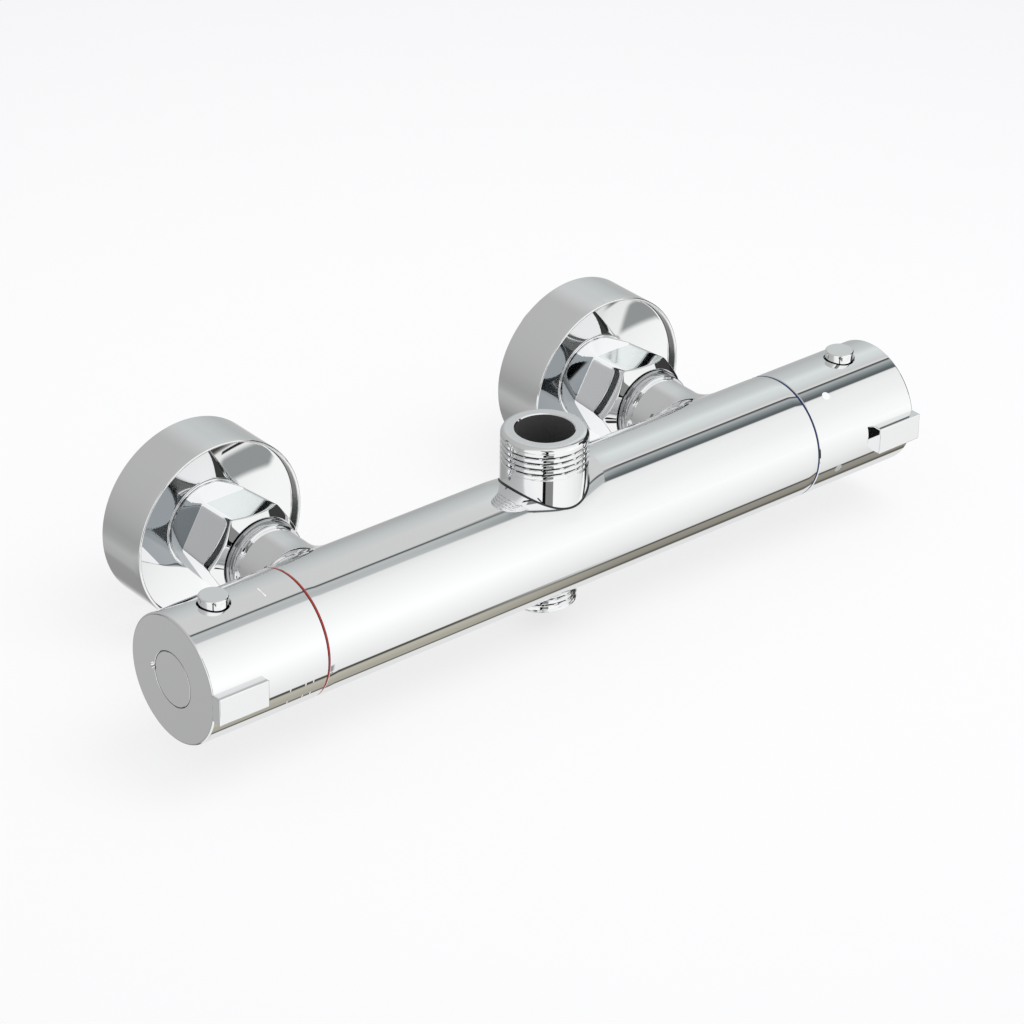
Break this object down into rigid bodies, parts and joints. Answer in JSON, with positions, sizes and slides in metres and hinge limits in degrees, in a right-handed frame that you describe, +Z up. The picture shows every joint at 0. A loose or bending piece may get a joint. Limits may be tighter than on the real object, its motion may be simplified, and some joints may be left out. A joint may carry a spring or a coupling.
{
  "type": "thermostatic shower valve",
  "caption": "Round chromed thermostatic bar valve with a temperature handle, a flow handle, wall unions and a threaded outlet above and below.",
  "frame": {"origin": "on the face of the wall, midway between the axes of the two wall tails", "axes": "+X along the bar towards the flow handle, +Y into the wall, +Z up towards the top outlet"},
  "size_m": [0.267, 0.1136, 0.0637],
  "materials": {
    "chrome": "polished chrome plate on brass",
    "red_plastic": "red moulded ring",
    "blue_plastic": "dark blue moulded ring",
    "white_plastic": "off-white moulded plastic",
    "grey_plastic": "grey moulded plastic",
    "brass": "turned brass",
    "spring_steel": "stainless wire and screws",
    "ceramic": "lapped ceramic",
    "rubber": "black moulded rubber"
  },
  "bodies": {
    "fixed": {"bar_body": "chrome", "top_outlet": "chrome", "bottom_outlet": "chrome", "temperature_ring": "red_plastic", "flow_ring": "blue_plastic", "outlet_seals": "rubber", "tailpiece_hot": "chrome", "tailpiece_cold": "chrome", "snap_rings": "spring_steel", "union_nut_hot": "chrome", "union_nut_cold": "chrome", "filter_washer_hot": "rubber", "filter_washer_cold": "rubber", "eccentric_union_hot": "chrome", "eccentric_union_cold": "chrome", "flange_hot": "chrome", "flange_cold": "chrome", "check_housing_hot": "white_plastic", "check_housing_cold": "white_plastic", "check_spring_hot": "spring_steel", "check_spring_cold": "spring_steel", "thermo_housing": "white_plastic", "thermo_bonnet": "brass", "thermo_return_spring": "spring_steel", "cartridge_seals": "rubber", "temperature_stop_ring": "white_plastic", "flow_housing": "grey_plastic", "flow_bonnet": "brass", "fixed_disc": "ceramic", "disc_seal": "rubber", "flow_stop_ring": "white_plastic"},
    "hot_poppet": {"check_poppet_hot": "white_plastic"},
    "cold_poppet": {"check_poppet_cold": "white_plastic"},
    "thermostat_element": {"thermo_element": "brass"},
    "temperature_knob": {"thermo_spindle": "brass", "temperature_handle": "chrome", "temperature_screw": "spring_steel", "temperature_plug": "chrome", "safety_guide": "white_plastic", "safety_spring": "spring_steel"},
    "safety_stop_button": {"safety_button": "chrome"},
    "flow_knob": {"flow_spindle": "brass", "moving_disc": "ceramic", "flow_handle": "chrome", "flow_screw": "spring_steel", "flow_plug": "chrome", "eco_guide": "white_plastic", "eco_spring": "spring_steel"},
    "eco_stop_button": {"eco_button": "chrome"}
  },
  "joints": [
    {"name": "temperature_turn", "type": "hinge", "parent": "fixed", "child": "temperature_knob", "pos_m": [0, -0.0763, -0.005], "axis": [-1, 0, 0], "range_deg": [-140, 50]},
    {"name": "thermostat_shuttle", "type": "slide", "parent": "fixed", "child": "thermostat_element", "axis": [1, 0, 0], "range_m": [-0.00031, 0.00086], "deforming": ["thermo_return_spring"]},
    {"name": "safety_button_press", "type": "slide", "parent": "temperature_knob", "child": "safety_stop_button", "axis": [0, 0, -1], "range_m": [0, 0.0015], "stiffness_N_per_m": 600, "springref_m": -0.002, "deforming": ["safety_spring"]},
    {"name": "flow_turn", "type": "hinge", "parent": "fixed", "child": "flow_knob", "pos_m": [0, -0.0763, -0.005], "axis": [1, 0, 0], "range_deg": [-90, 90]},
    {"name": "eco_button_press", "type": "slide", "parent": "flow_knob", "child": "eco_stop_button", "axis": [0, 0, -1], "range_m": [0, 0.0015], "stiffness_N_per_m": 600, "springref_m": -0.002, "deforming": ["eco_spring"]},
    {"name": "hot_check_poppet", "type": "slide", "parent": "fixed", "child": "hot_poppet", "axis": [0, -1, 0], "range_m": [0, 0.0025], "stiffness_N_per_m": 60, "springref_m": -0.002, "deforming": ["check_spring_hot"]},
    {"name": "cold_check_poppet", "type": "slide", "parent": "fixed", "child": "cold_poppet", "axis": [0, -1, 0], "range_m": [0, 0.0025], "stiffness_N_per_m": 60, "springref_m": -0.002, "deforming": ["check_spring_cold"]}
  ],
  "couplings": [
    {"joint": "thermostat_shuttle", "follows": "temperature_turn", "m_per_rad": -0.00035}
  ]
}
